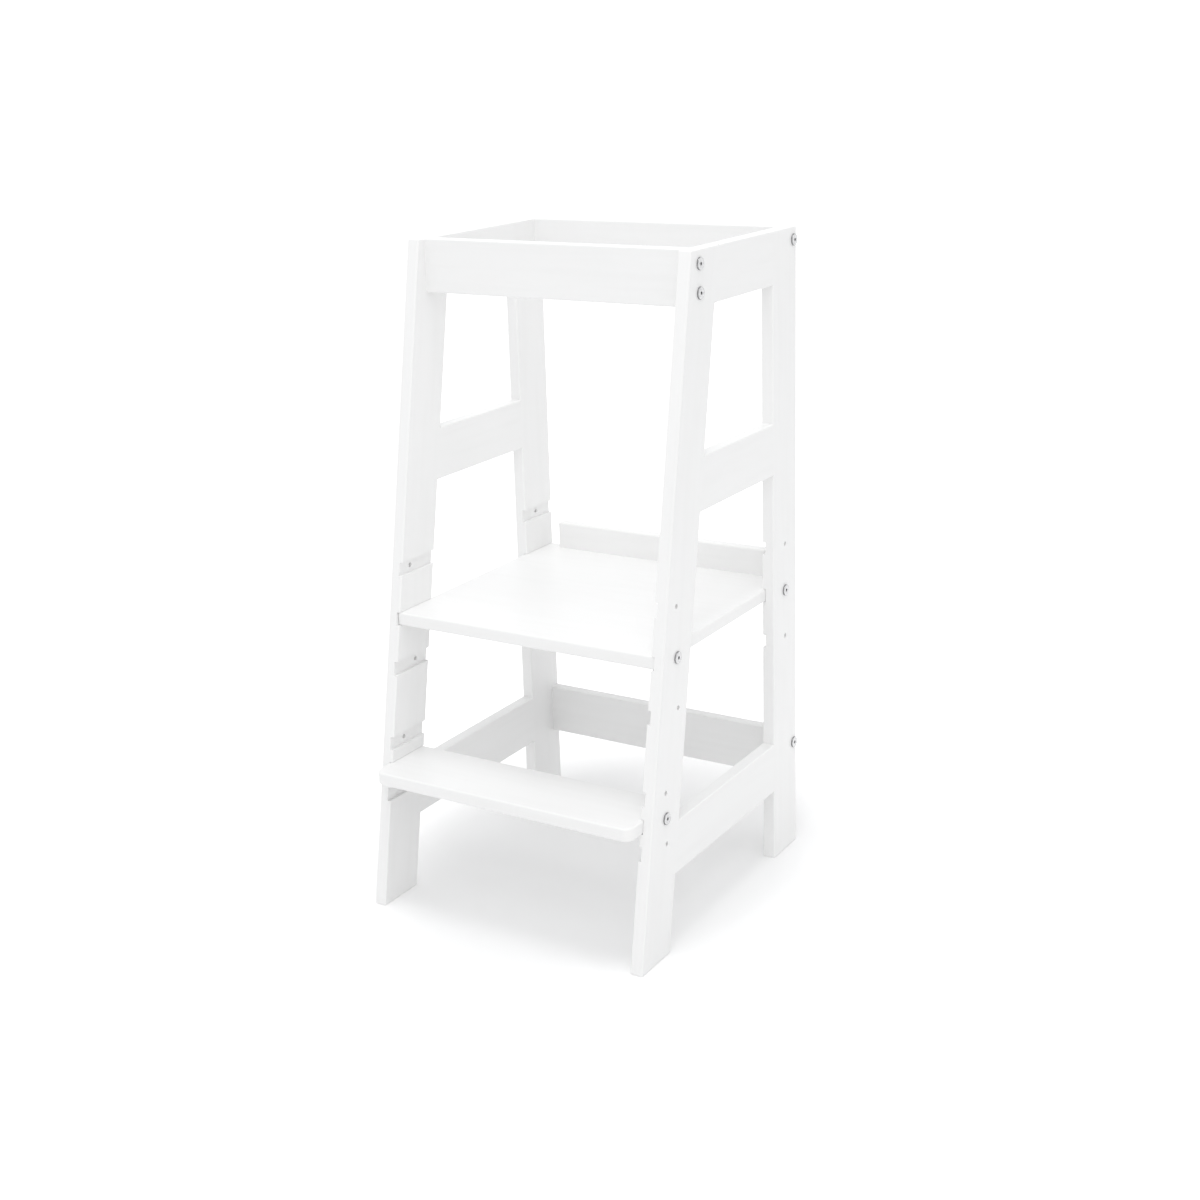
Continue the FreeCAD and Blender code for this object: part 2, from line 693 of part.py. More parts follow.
for name, (face, top, fixings) in CROSS_RAILS.items():
    middle = f"({face} + Sizes.rail_thick / 2)"
    pieces.append(cross_rail(name, face, top, fixings))
    centres = [(middle, level) for level in fixings_of("bolt", top, fixings)]
    pieces += bolts_and_nuts(f"{name}_rail", centres, SLOT_TO_BACK)
    dowel_levels = fixings_of("dowel", top, fixings)
    if dowel_levels:
        pieces.append(cross_rail_dowels(name, middle, dowel_levels))

pieces += [platform(), heel_board(), step_board()]
platform_centres = [
    (PLATFORM_FRONT_BOLT, "Sizes.platform_level"),
    (REAR_LEG_MIDDLE, "Sizes.platform_level"),
]
pieces += bolts_and_nuts("platform", platform_centres, AS_MADE)
pieces += bolts_and_nuts("step", [(STEP_BOLT, "Sizes.step_level")], AS_MADE)
screw_spots = [(x, SCREW_Y, PLATFORM_UNDER, UPWARDS) for x in SCREWS_X]
pieces.append(group("heel_board_screws", SCREW, screw_spots))

doc.recompute()
for thing in doc.Objects:
    if "Invalid" in thing.State or "Error" in thing.State:
        raise RuntimeError(f"{thing.Label} failed: {thing.State}")
for piece in pieces:
    expected = len(piece.Links) if piece.TypeId == "Part::Compound" else 1
    if piece.Shape.isNull() or not piece.Shape.isValid():
        raise RuntimeError(f"{piece.Label} has no valid shape")
    if len(piece.Shape.Solids) != expected:
        raise RuntimeError(f"{piece.Label} has {len(piece.Shape.Solids)} solids")

os.makedirs("parts", exist_ok=True)
for piece in pieces:
    piece.Shape.exportStep(f"parts/{piece.Label}.step")
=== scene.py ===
"""Looks of a toddler's kitchen helper tower, dressed over its construction model.

The boards keep their construction solids and get a white lacquer that shows a little of the
pine under it. The bolts, barrel nuts, dowels and screws are made with Geometry Nodes at the
places of the construction fasteners that they stand for. Lengths are in metres.
"""

import math

import bmesh
import bpy
from bpy.props import FloatProperty, FloatVectorProperty, IntProperty, PointerProperty
from mathutils import Matrix, Vector


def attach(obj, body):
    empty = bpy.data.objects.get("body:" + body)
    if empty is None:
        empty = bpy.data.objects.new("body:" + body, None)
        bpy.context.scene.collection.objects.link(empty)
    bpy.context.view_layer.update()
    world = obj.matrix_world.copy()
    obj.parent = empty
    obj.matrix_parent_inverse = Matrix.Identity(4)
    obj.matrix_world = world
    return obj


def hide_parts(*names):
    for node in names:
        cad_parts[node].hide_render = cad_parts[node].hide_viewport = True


bl_info = {
    "name": "Kitchen helper tower",
    "version": (1, 0, 0),
    "blender": (4, 5, 0),
    "location": "3D View > Sidebar > Helper Tower",
    "description": "Dresses and lights a toddler's kitchen helper tower",
    "category": "Object",
}

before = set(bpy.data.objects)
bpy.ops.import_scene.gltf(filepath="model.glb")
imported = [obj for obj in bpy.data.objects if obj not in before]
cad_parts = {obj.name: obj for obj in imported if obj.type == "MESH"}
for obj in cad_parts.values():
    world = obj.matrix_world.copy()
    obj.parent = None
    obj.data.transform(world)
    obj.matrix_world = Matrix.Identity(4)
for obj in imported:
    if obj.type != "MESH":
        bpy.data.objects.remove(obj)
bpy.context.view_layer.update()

BODY = "root"

# Which way the grain runs: a turn that brings a board's length onto X.
LEAN = math.radians(10)
ALONG_X = (0, 0, 0)
ALONG_Y = (0, 0, -math.pi / 2)
ALONG_Z = (0, math.pi / 2, 0)
ALONG_LEAN = (LEAN, math.pi / 2, 0)

BOARDS = {
    "leaning": ("left_front_leg", "right_front_leg"),
    "upright": ("left_rear_leg", "right_rear_leg"),
    "side_rails": tuple(f"{side}_{level}_side_rail"
                        for side in ("left", "right") for level in ("top", "middle", "lower")),
    "cross_rails": ("top_front_rail", "top_back_rail", "lower_back_rail"),
    "standing": ("platform", "heel_board"),
    "step": ("step_board",),
}
BOLTED = ("top_front_rail", "top_back_rail", "lower_back_rail", "platform", "step")
DOWELLED = tuple(f"{name}_dowels" for name in BOARDS["side_rails"]) + (
    "top_back_rail_dowels", "lower_back_rail_dowels")


# ------------------------------------------------------------------------------ settings
def length(name, description, default, low=0.0, high=10.0):
    """A length in metres that a user may change."""
    return FloatProperty(name=name, description=description, default=default, min=low,
                         max=high, unit="LENGTH", subtype="DISTANCE", precision=5)


def share(name, description, default, high=1.0):
    """A number from nothing to a highest value."""
    return FloatProperty(name=name, description=description, default=default, min=0.0,
                         max=high, precision=3)


def colour(name, description, default):
    """A colour that a user may change."""
    return FloatVectorProperty(name=name, description=description, default=default,
                               subtype="COLOR", size=3, min=0.0, max=2.0, soft_max=1.0)


def power(name, description, default):
    """The power of a lamp in watts."""
    return FloatProperty(name=name, description=description, default=default, min=0.0,
                         unit="POWER")


class LacquerSettings(bpy.types.PropertyGroup):
    """The white lacquer on the boards."""

    tone: colour("Colour", "Colour of the lacquer", (0.905, 0.904, 0.9))
    figure_tone: colour("Figure colour", "Where the pine's summer wood lies under the lacquer",
                        (0.890, 0.889, 0.884))
    edge_tone: colour("Edge colour", "Where the lacquer is thin on a rounded edge",
                      (0.915, 0.913, 0.905))
    roughness: share("Roughness", "Roughness of the satin lacquer", 0.42)
    grain_depth: length("Grain depth", "Height of the grain under the lacquer", 0.00012)
    figure_wide: length("Figure width", "Width of a band of the pine's figure", 0.011, 0.001)
    figure_long: length("Figure length", "Length over which the figure changes", 0.16, 0.001)
    peel_wide: length("Orange peel", "Size of the ripples of the sprayed lacquer", 0.0025, 0.0001)


class SteelSettings(bpy.types.PropertyGroup):
    """The zinc-plated fasteners."""

    tone: colour("Colour", "Colour of the zinc plate", (0.60, 0.60, 0.605))
    shade_tone: colour("Dull colour", "Colour where the plate is dull", (0.48, 0.482, 0.487))
    # Painted shade: a dark colour on the bevel round each bolt's head, standing in for the shade
    # that falls there.
    rim_shade_tone: colour("Rim colour", "Colour round the rim of a bolt's head", (0.30, 0.30, 0.305))
    head_wide: length("Head width", "Diameter of a bolt's head", 0.016)
    head_high: length("Head height", "Thickness of a bolt's head", 0.0024)
    head_bevel: length("Head bevel", "Bevel round a bolt's head", 0.0008)
    shank_wide: length("Shank width", "Diameter of a bolt's shank", 0.006)
    socket_wide: length("Socket width", "Across the flats of the head's socket", 0.004)
    socket_deep: length("Socket depth", "Depth of the head's socket", 0.0035)
    thread_long: length("Thread length", "Threaded end of a bolt", 0.026)
    thread_pitch: length("Thread pitch", "Pitch of a bolt's thread", 0.001, 0.0001)
    thread_deep: length("Thread depth", "Depth of a bolt's thread", 0.0005)
    nut_bore: length("Nut bore", "Diameter of a barrel nut's bore", 0.0061)
    nut_slot: length("Nut slot", "Width and depth of a barrel nut's slot", 0.0012)
    nut_bevel: length("Nut bevel", "Bevel on a barrel nut's ends", 0.0005)
    screw_wide: length("Screw width", "Diameter of a screw over its thread", 0.004)
    screw_pitch: length("Screw pitch", "Pitch of a screw's thread", 0.0018, 0.0001)
    screw_deep: length("Screw thread depth", "Depth of a screw's thread", 0.0007)
    screw_neck: length("Screw neck", "Plain neck under a screw's head", 0.012)
    cross_wide: length("Cross width", "Width of the cross in a screw's head", 0.0012)
    cross_deep: length("Cross depth", "Depth of the cross in a screw's head", 0.0018)


class DowelSettings(bpy.types.PropertyGroup):
    """The beech dowels."""

    tone: colour("Colour", "Colour of the beech", (0.60, 0.43, 0.26))
    fleck_tone: colour("Fleck colour", "Colour of the rays in the beech", (0.45, 0.29, 0.16))
    bevel: length("Bevel", "Bevel on a dowel's ends", 0.0008)
    flute_deep: length("Flute depth", "Depth of a dowel's flutes", 0.0003)
    flutes: IntProperty(name="Flutes", description="Number of flutes round a dowel",
                        default=12, min=4, max=24)


class StageSettings(bpy.types.PropertyGroup):
    """The floor, the lights and the camera."""

    floor_tone: colour("Floor colour", "Colour of the floor", (0.9, 0.9, 0.9))
    floor_lift: share("Floor lift", "Light added to the floor where it is looked at", 0.065)
    far_lift: share("Far lift", "More light added to the floor far from the tower", 0.5)
    lift_near: length("Lift starts", "Distance from the shadow's middle where it starts to fade",
                      0.22)
    lift_far: length("Lift full", "Distance from the shadow's middle where it has gone", 0.50)
    shadow_back: length("Shadow's middle", "The shadow's middle behind the tower's", 0.06)
    shadow_long: share("Shadow's length", "Length of the shadow over its width", 1.33, 4.0)
    sky: share("Sky", "Strength of the even light from all round", 0.88, 10.0)
    sky_tone: colour("Sky colour", "Colour of the even light from all round", (0.995, 1.0, 1.008))
    top_power: power("Top light", "Power of the light overhead", 18.2)
    slant_power: power("Slanting light", "Power of the light above the front on the right", 10.3)
    right_power: power("Right light", "Power of the light on the right", 1.8)
    lens: FloatProperty(name="Lens", description="Focal length in millimetres",
                        default=53.4356, min=1.0)
    azimuth: FloatProperty(name="Azimuth", description="Camera round the tower",
                           default=math.radians(31.537), subtype="ANGLE")
    elevation: FloatProperty(name="Elevation", description="Camera above the horizon",
                             default=math.radians(15.383), subtype="ANGLE")
    roll: FloatProperty(name="Roll", description="Camera turned about its view",
                        default=math.radians(-1.659), subtype="ANGLE")
    distance: length("Distance", "Camera to the point it looks at", 2.39743, 0.1)
    target: FloatVectorProperty(name="Target", description="Point that the camera looks at",
                                default=(0.036183, 0.0, 0.519739), subtype="XYZ",
                                unit="LENGTH", size=3)
    shift: FloatVectorProperty(name="Shift", description="Shift of the picture on the sensor",
                               default=(-0.00296, -0.0636), size=2)


# -------------------------------------------------------------------------- node trees
ROUND = 48.0                # points round a piece of steel
BORE_ROUND = 32             # points round a nut's bore
FLUTE_POINTS = 6.0          # points round each flute of a dowel
TOUCHING = 0.000002         # points nearer than this are one

# A bolt's profile.
TIP_FLAT = 0.8              # flat of its tip over the root of its thread
UNDER_HEAD = 0.96           # underside of its head over the rim
UNDER_BEVEL = 0.12          # bevel there over the head's height
BEVEL_RISE = 0.7            # middle ring of the upper bevel: its height over the bevel
BEVEL_DRAW = 0.3            # and how far in it lies
MOUTH_WIDE = 1.28           # round mouth of the socket over the flats
MOUTH_DEEP = 0.14           # and its depth
SOCKET_CONE = 0.5           # cone at the bottom of the socket over the flats
SOCKET_ROWS = 3             # rows at the profile's end that are six-sided
SIXTH = math.pi / 3

# A screw's profile.
CROSS_REACH = 0.56          # arms of the cross over the rim of the head
CROSS_FLOOR = 0.6           # its floor over the arms
FACE_RING = 0.66            # a ring on the flat of the head over the rim
RIM_HIGH = 0.07             # height of the rim over its radius
CROSS_ROWS = 3              # rows at the profile's start that the cross cuts
LEAST_SINE = 0.01           # keeps the cross's width from being divided by nothing

# The profile of a rod with bevelled ends, and a nut's slot.
RIM_ROWS = (2, 3)           # first and last row at the full width
SAW_LONG = 1.2              # length of the slot's cut over a nut's width


class Nodes:
    """A node tree, with short ways to add nodes to it."""

    def __init__(self, tree):
        self.tree = tree

    def add(self, kind, *values, **settings):
        """A node with settings, and values or links for its inputs in their order."""
        node = self.tree.nodes.new(kind)
        for key, value in settings.items():
            setattr(node, key, value)
        for slot, value in enumerate(values):
            if value is not None:
                self.feed(node.inputs[slot], value)
        return node

    def feed(self, socket, value):
        """A value or a link for an input."""
        if isinstance(value, bpy.types.NodeSocket):
            self.tree.links.new(value, socket)
        else:
            socket.default_value = int(value) if socket.type == "INT" else value

    def calc(self, operation, first, second=None, third=None, clamp=False):
        """The result of one step of arithmetic."""
        return self.add("ShaderNodeMath", first, second, third,
                        operation=operation, use_clamp=clamp).outputs[0]

    def plus(self, first, second):
        """The sum of two numbers."""
        return self.calc("ADD", first, second)

    def minus(self, first, second):
        """The first number less the second."""
        return self.calc("SUBTRACT", first, second)

    def times(self, first, second):
        """The product of two numbers."""
        return self.calc("MULTIPLY", first, second)

    def over(self, first, second):
        """The first number divided by the second."""
        return self.calc("DIVIDE", first, second)

    def times_plus(self, first, second, third):
        """The first number times the second, and the third added."""
        return self.calc("MULTIPLY_ADD", first, second, third)

    def point(self, x, y, z=0.0):
        """A vector from three numbers."""
        return self.add("ShaderNodeCombineXYZ", x, y, z).outputs[0]

    def parts(self, vector):
        """The three numbers of a vector."""
        return self.add("ShaderNodeSeparateXYZ", vector).outputs


def new_tree(name, sizes, counts=()):
    """A Geometry Nodes tree with named inputs; gives its nodes, its inputs and its end."""
    tree = bpy.data.node_groups.new(name, "GeometryNodeTree")
    inputs = {"Geometry": "Geometry", **dict.fromkeys(sizes, "Float"),
              **dict.fromkeys(counts, "Int"), "Finish": "Material"}
    for label, kind in inputs.items():
        tree.interface.new_socket(label, in_out="INPUT", socket_type=f"NodeSocket{kind}")
    tree.interface.new_socket("Geometry", in_out="OUTPUT", socket_type="NodeSocketGeometry")
    nodes = Nodes(tree)
    start = nodes.add("NodeGroupInput")
    end = nodes.add("NodeGroupOutput")
    return nodes, start.outputs, end.inputs[0]


def turned(nodes, rows, around, shape):
    """A closed turned shape about X: one ring of points for each row of its profile.

    shape(row, turn) gives a ring's place along X and its radius at each turn about X.
    """
    in_row = nodes.plus(around, 1.0)
    grid = nodes.add("GeometryNodeMeshGrid", 1.0, 1.0, rows, in_row)
    index = nodes.add("GeometryNodeInputIndex").outputs[0]
    row = nodes.calc("FLOOR", nodes.over(nodes.plus(index, 0.5), in_row))
    step = nodes.minus(index, nodes.times(row, in_row))
    turn = nodes.times(nodes.over(step, around), math.tau)
    along, radius = shape(row, turn)
    place = nodes.point(along, nodes.times(radius, nodes.calc("COSINE", turn)),
                        nodes.times(radius, nodes.calc("SINE", turn)))
    moved = nodes.add("GeometryNodeSetPosition", grid.outputs[0], None, place)
    keep = nodes.add("GeometryNodeStoreNamedAttribute", moved.outputs[0], None, "off_axis",
                     data_type="FLOAT", domain="POINT")
    nodes.feed(keep.inputs["Value"], radius)
    merged = nodes.add("GeometryNodeMergeByDistance", keep.outputs[0])
    nodes.feed(merged.inputs["Distance"], TOUCHING)
    return merged.outputs[0]


def pick(nodes, number, points):
    """The two numbers of the point of a list that has this number."""
    switch = nodes.add("GeometryNodeIndexSwitch", data_type="VECTOR")
    while len(switch.index_switch_items) < len(points):
        switch.index_switch_items.new()
    nodes.feed(switch.inputs[0], number)
    for slot, (x, y) in enumerate(points, start=1):
        nodes.feed(switch.inputs[slot], nodes.point(x, y))
    return nodes.parts(switch.outputs[0])[:2]


def choose(nodes, test, yes, no):
    """One number where the test holds and another where it doesn't."""
    return nodes.add("GeometryNodeSwitch", test, no, yes, input_type="FLOAT").outputs[0]


def below(nodes, first, second):
    """A test that one number is less than another."""
    return nodes.add("FunctionNodeCompare", first, second,
                     data_type="FLOAT", operation="LESS_THAN").outputs[0]


def set_out(nodes, shape, start, end):
    """A copy of the shape at every point, turned as the point says, as one real mesh."""
    turn = nodes.add("GeometryNodeInputNamedAttribute", "turn", data_type="FLOAT_VECTOR")
    rotation = nodes.add("FunctionNodeEulerToRotation", turn.outputs[0])
    copies = nodes.add("GeometryNodeInstanceOnPoints")
    nodes.feed(copies.inputs["Points"], start["Geometry"])
    nodes.feed(copies.inputs["Instance"], shape)
    nodes.feed(copies.inputs["Rotation"], rotation.outputs[0])
    real = nodes.add("GeometryNodeRealizeInstances", copies.outputs[0])
    finish = nodes.add("GeometryNodeSetMaterial", real.outputs[0])
    nodes.feed(finish.inputs["Material"], start["Finish"])
    nodes.feed(end, finish.outputs[0])


def thread_ring(nodes, number, turn, tip, stop, pitch, crest, deep):
    """A ring that climbs round a thread: every other one is its crest, and both ends fade."""
    climb = nodes.minus(nodes.plus(nodes.times(number, 0.5), nodes.over(turn, math.tau)), 1.0)
    free = nodes.times_plus(climb, pitch, tip)
    along = nodes.calc("MINIMUM", nodes.calc("MAXIMUM", free, tip), stop)
    ends = nodes.calc("MINIMUM", nodes.minus(along, tip), nodes.minus(stop, along))
    fade = nodes.calc("DIVIDE", ends, pitch, clamp=True)
    odd = nodes.calc("MODULO", number, 2.0)
    high = nodes.times(nodes.times(odd, fade), deep)
    return along, nodes.plus(nodes.minus(crest, deep), high)


def threaded_rod(nodes, before, span, thread, after, cut_before=None, cut_after=None):
    """A turned shape with a thread as long as span between two lists of profile points.

    thread holds what thread_ring needs. The cuts change a list's radius: each is given the
    row in the list, the turn and the radius.
    """
    turns = nodes.calc("CEIL", nodes.over(span, thread["pitch"]))
    first = float(len(before))
    last = nodes.plus(nodes.times_plus(turns, 2.0, 3.0), first)

    def shape(row, turn):
        along, radius = thread_ring(nodes, nodes.minus(row, first), turn, **thread)
        row_after = nodes.minus(row, last)
        for test, number, points, cut in (
                (below(nodes, row, first - 0.5), row, before, cut_before),
                (below(nodes, nodes.minus(last, 0.5), row), row_after, after, cut_after)):
            place, wide = pick(nodes, number, points)
            if cut:
                wide = cut(number, turn, wide)
            along = choose(nodes, test, place, along)
            radius = choose(nodes, test, wide, radius)
        return along, radius

    return turned(nodes, nodes.plus(last, float(len(after))), ROUND, shape)


def bolt_tree():
    """Flat-headed bolts: the head stands along X from each point, the shank behind it."""
    nodes, start, end = new_tree("Tower bolts", (
        "Head width", "Head height", "Head bevel", "Shank width", "Shank length",
        "Socket width", "Socket depth", "Thread length", "Thread pitch", "Thread depth"))
    tip = nodes.times(start["Shank length"], -1.0)
    stop = nodes.plus(tip, start["Thread length"])
    shank = nodes.over(start["Shank width"], 2.0)
    root = nodes.minus(shank, start["Thread depth"])
    rim = nodes.over(start["Head width"], 2.0)
    high = start["Head height"]
    bevel = start["Head bevel"]
    shoulder = nodes.minus(high, bevel)
    flat = nodes.over(start["Socket width"], 2.0)
    floor = nodes.minus(high, start["Socket depth"])
    before = [(tip, 0.0), (tip, nodes.times(root, TIP_FLAT))]
    after = [
        (stop, shank), (0.0, shank), (0.0, nodes.times(rim, UNDER_HEAD)),
        (nodes.times(high, UNDER_BEVEL), rim), (shoulder, rim),
        (nodes.times_plus(bevel, BEVEL_RISE, shoulder),
         nodes.times_plus(bevel, -BEVEL_DRAW, rim)),
        (high, nodes.minus(rim, bevel)), (high, nodes.times(flat, MOUTH_WIDE)),
        (nodes.minus(high, nodes.times(flat, MOUTH_DEEP)), flat), (floor, flat),
        (nodes.times_plus(flat, -SOCKET_CONE, floor), 0.0)]

    def socket(row, turn, radius):
        corner = nodes.minus(nodes.calc("MODULO", turn, SIXTH), SIXTH / 2)
        six_sided = nodes.over(radius, nodes.calc("COSINE", corner))
        in_socket = below(nodes, len(after) - SOCKET_ROWS - 0.5, row)
        return choose(nodes, in_socket, six_sided, radius)

    thread = {"tip": tip, "stop": stop, "pitch": start["Thread pitch"], "crest": shank,
              "deep": start["Thread depth"]}
    rod = threaded_rod(nodes, before, start["Thread length"], thread, after, cut_after=socket)
    set_out(nodes, rod, start, end)
    return nodes.tree


def screw_tree():
    """Countersunk screws: each runs along X from the point at the face of its head."""
    nodes, start, end = new_tree("Tower screws", (
        "Head width", "Screw length", "Screw width", "Neck", "Thread pitch", "Thread depth",
        "Cross width", "Cross depth"))
    neck = start["Neck"]
    rim = nodes.over(start["Head width"], 2.0)
    crest = nodes.over(start["Screw width"], 2.0)
    root = nodes.minus(crest, start["Thread depth"])
    throat = nodes.minus(rim, root)
    stop = nodes.minus(start["Screw length"], start["Screw width"])
    arm = nodes.times(rim, CROSS_REACH)
    before = [
        (start["Cross depth"], 0.0), (start["Cross depth"], nodes.times(arm, CROSS_FLOOR)),
        (0.0, arm), (0.0, nodes.times(rim, FACE_RING)), (0.0, rim),
        (nodes.times(rim, RIM_HIGH), rim), (throat, root), (neck, root)]
    after = [(stop, root), (start["Screw length"], 0.0)]

    def cross(row, turn, radius):
        sine = nodes.calc("ABSOLUTE", nodes.calc("SINE", turn))
        cosine = nodes.calc("ABSOLUTE", nodes.calc("COSINE", turn))
        lesser = nodes.calc("MAXIMUM", nodes.calc("MINIMUM", sine, cosine), LEAST_SINE)
        side = nodes.over(nodes.over(start["Cross width"], 2.0), lesser)
        in_cross = below(nodes, row, CROSS_ROWS - 0.5)
        return choose(nodes, in_cross, nodes.calc("MINIMUM", radius, side), radius)

    thread = {"tip": neck, "stop": stop, "pitch": start["Thread pitch"], "crest": crest,
              "deep": start["Thread depth"]}
    rod = threaded_rod(nodes, before, nodes.minus(stop, neck), thread, after,
                       cut_before=cross)
    set_out(nodes, rod, start, end)
    return nodes.tree


def bevelled_rod(nodes, start):
    """The profile of a rod along X with bevelled ends."""
    tip = nodes.over(start["Length"], 2.0)
    low = nodes.times(tip, -1.0)
    rim = nodes.over(start["Width"], 2.0)
    worn = nodes.minus(rim, start["Bevel"])
    return [
        (low, 0.0), (low, worn), (nodes.plus(low, start["Bevel"]), rim),
        (nodes.minus(tip, start["Bevel"]), rim), (tip, worn), (tip, 0.0)]


def dowel_tree():
    """Fluted dowels: each lies along X with its middle at the point."""
    nodes, start, end = new_tree("Tower dowels", ("Width", "Length", "Bevel", "Flute depth"),
                                 counts=("Flutes",))
    points = bevelled_rod(nodes, start)
    first, last = RIM_ROWS

    def shape(row, turn):
        along, radius = pick(nodes, row, points)
        wave = nodes.calc("COSINE", nodes.times(turn, start["Flutes"]))
        dip = nodes.times(nodes.minus(1.0, wave), start["Flute depth"])
        on_rim = nodes.times(below(nodes, first - 0.5, row), below(nodes, row, last + 0.5))
        return along, nodes.minus(radius, nodes.times(nodes.times(dip, 0.5), on_rim))

    around = nodes.times(start["Flutes"], FLUTE_POINTS)
    set_out(nodes, turned(nodes, float(len(points)), around, shape), start, end)
    return nodes.tree


def nut_tree():
    """Barrel nuts: axis along X with the slot at its far end, and a bore along Y."""
    nodes, start, end = new_tree("Tower barrel nuts", (
        "Width", "Length", "Bevel", "Bore", "Slot"))
    points = bevelled_rod(nodes, start)
    far_end = points[-1][0]
    barrel = turned(nodes, float(len(points)), ROUND,
                    lambda row, turn: pick(nodes, row, points))
    bore = nodes.add("GeometryNodeMeshCylinder")
    bore_radius = nodes.over(start["Bore"], 2.0)
    for name, value in (("Vertices", BORE_ROUND), ("Radius", bore_radius),
                        ("Depth", start["Length"])):
        nodes.feed(bore.inputs[name], value)
    drill = nodes.add("GeometryNodeTransform", bore.outputs[0])
    nodes.feed(drill.inputs["Rotation"], (math.pi / 2, 0, 0))
    blade = nodes.add("GeometryNodeMeshCube", nodes.point(
        nodes.times(start["Slot"], 2.0), start["Slot"], nodes.times(start["Width"], SAW_LONG)))
    saw = nodes.add("GeometryNodeTransform", blade.outputs[0])
    nodes.feed(saw.inputs["Translation"], nodes.point(far_end, 0.0))
    cut = nodes.add("GeometryNodeMeshBoolean", operation="DIFFERENCE", solver="EXACT")
    nodes.feed(cut.inputs[0], barrel)
    for tool in (drill, saw):
        nodes.feed(cut.inputs[1], tool.outputs[0])
    set_out(nodes, cut.outputs[0], start, end)
    return nodes.tree


# ----------------------------------------------------------------------------- pieces
HAIRLINE = 0.000001         # edges shorter than this are closed up
SHARP = math.radians(32)    # edges that turn by more than this stay sharp
PARALLEL = 0.01             # a cross product shorter than this is of parallel directions


def solids(name):
    """The lowest and highest corner of each solid of a construction node."""
    mesh = bmesh.new()
    mesh.from_mesh(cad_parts[name].data)
    bmesh.ops.remove_doubles(mesh, verts=mesh.verts, dist=HAIRLINE)
    waiting = set(mesh.verts)
    boxes = []
    while waiting:
        found = [waiting.pop()]
        corners = []
        while found:
            vert = found.pop()
            corners.append(vert.co.copy())
            for edge in vert.link_edges:
                other = edge.other_vert(vert)
                if other in waiting:
                    waiting.remove(other)
                    found.append(other)
        boxes.append((Vector(map(min, zip(*corners))), Vector(map(max, zip(*corners)))))
    mesh.free()
    return sorted(boxes, key=lambda box: tuple(box[0]))


def plant(name, places, tree, values):
    """One mesh of fasteners, made by a tree at places, that stands for a construction node."""
    points = bpy.data.meshes.new(f"{name}_points")
    points.from_pydata([place for place, turn in places], [], [])
    turns = points.attributes.new("turn", "FLOAT_VECTOR", "POINT")
    turns.data.foreach_set("vector", [angle for place, turn in places for angle in turn])
    maker = bpy.data.objects.new(f"{name}_maker", points)
    bpy.context.scene.collection.objects.link(maker)
    modifier = maker.modifiers.new("make", "NODES")
    modifier.node_group = tree
    sockets = {item.name: item.identifier for item in tree.interface.items_tree
               if item.in_out == "INPUT"}
    for label, value in values.items():
        modifier[sockets[label]] = value
    bpy.context.view_layer.update()
    graph = bpy.context.evaluated_depsgraph_get()
    mesh = bpy.data.meshes.new_from_object(maker.evaluated_get(graph))
    bpy.data.objects.remove(maker)
    mesh.name = f"{name}_mesh"
    close_up(mesh)
    mesh.shade_smooth()
    mesh.set_sharp_from_angle(angle=SHARP)
    piece = bpy.data.objects.new(f"{name}_made", mesh)
    bpy.context.scene.collection.objects.link(piece)
    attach(piece, BODY)
    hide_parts(name)
    return piece


def close_up(mesh):
    """Close up the hairline edges of a closed mesh, and make its faces point outwards."""
    work = bmesh.new()
    work.from_mesh(mesh)
    bmesh.ops.dissolve_degenerate(work, dist=HAIRLINE, edges=work.edges)
    bmesh.ops.recalc_face_normals(work, faces=work.faces)
    work.to_mesh(mesh)
    work.free()


def aimed(direction, up=(0, 0, 1)):
    """The turn that brings X onto a direction, with Y square to up as well."""
    x_axis = Vector(direction).normalized()
    y_axis = Vector(up).cross(x_axis)
    if y_axis.length < PARALLEL:
        y_axis = Vector((1, 0, 0))
    y_axis.normalize()
    z_axis = x_axis.cross(y_axis)
    return Matrix((x_axis, y_axis, z_axis)).transposed().to_euler("XYZ")


def longest_axis(low, high):
    """The direction in which a box is longest."""
    span = high - low
    return max(range(3), key=lambda axis: span[axis])


# --------------------------------------------------------------------------- materials
SEED_STEP = (3.1, 1.7, 2.3)             # how far a seed moves a noise along each axis

# How fine each noise is, in waves a metre along, across and through the grain.
FIBRE_ALONG = 14.0
FIBRES = 9                              # fibres in the width of a band of the figure
CLOUD_FINE = (5.0, 9.0, 9.0)
BLOTCH_FINE = (380.0, 380.0, 380.0)
FLECK_FINE = (700.0, 160.0, 1400.0)
BEECH_FINE = (60.0, 40.0, 90.0)

# Where each pattern starts and is full, and how much of it shows.
FIGURE_RAMP, FIGURE_SHOWS = (0.42, 0.68), 0.8
CLOUD_RAMP, CLOUD_SHOWS = (0.35, 0.7), 0.4
SQUARE_RAMP = (0.88, 0.985)             # how square a face is to an axis of its board
BLOTCH_RAMP = (0.35, 0.7)
RIM_SHADE_SHOWS = 0.7                         # part of a head's bevel that the painted shade on its rim takes up
FLECK_RAMP, FLECK_SHOWS = (0.52, 0.66), 0.7
BEECH_SHOWS = 0.35

# Relief: strength and height of each finish, and the share of each pattern.
LACQUER_RELIEF = 0.5
FIBRE_HIGH, FIGURE_HIGH, PEEL_HIGH = 0.35, 0.65, 0.12
ZINC_RELIEF, ZINC_HIGH = 0.35, 0.00002
BEECH_RELIEF, BEECH_HIGH = 0.4, 0.00008
MARKS_APART = 0.00045                   # turning marks on the steel

# Roughness: the least, and how much a pattern adds.
SHEEN_SPREAD, EDGE_SHEEN = 0.10, -0.05
ZINC_ROUGH, ZINC_SPREAD = 0.24, 0.18
BEECH_ROUGH, BEECH_SPREAD = 0.58, 0.15
LACQUER_IOR = 1.48


